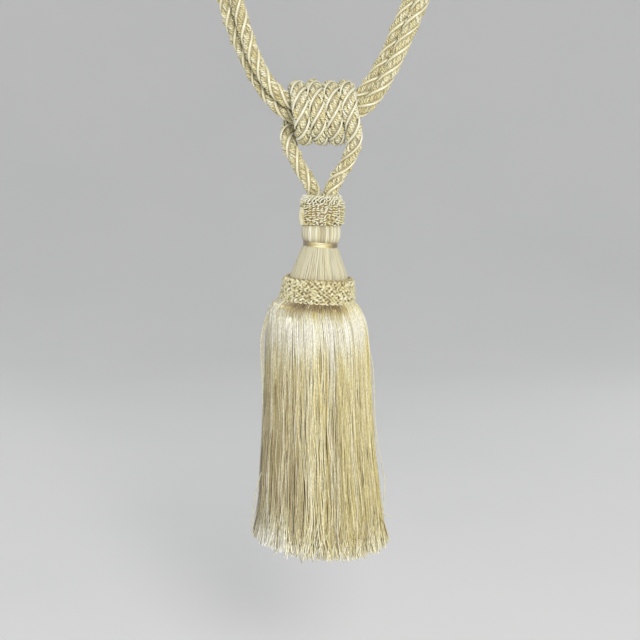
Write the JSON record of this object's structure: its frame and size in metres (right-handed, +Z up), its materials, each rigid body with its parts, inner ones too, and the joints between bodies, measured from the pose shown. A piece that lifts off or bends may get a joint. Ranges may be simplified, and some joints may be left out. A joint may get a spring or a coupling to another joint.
{
  "type": "curtain tieback tassel",
  "caption": "Curtain tieback: a doubled twisted rope with an eye at each end, gathered by a wound hanger cord that carries a silk-covered tassel with a cut yarn skirt.",
  "frame": {"origin": "the point on the wall hook where both eyes of the embrace bear, midway between the two ropes there", "axes": "+Z up along the hanging axis, -Y towards the viewer, +X to the viewer's right"},
  "size_m": [0.1721, 0.1022, 0.6489],
  "materials": {
    "rope_silk": "twisted viscose, crimped plies with smooth shiny threads between them",
    "gimp": "looped gimp cord",
    "neck_silk": "fine upright silk threads, satin",
    "tie_silk": "flat wound binding thread, satin",
    "skirt_yarn": "soft twisted viscose yarns in mixed creams and taupe, cut ends"
  },
  "bodies": {
    "root": {"embrace_rope": "rope_silk", "hanger_cord": "rope_silk", "ruff": "gimp", "neck_bead": "neck_silk", "tie_band": "tie_silk", "cone": "neck_silk", "gimp_band": "gimp", "skirt": "skirt_yarn"}
  },
  "joints": []
}
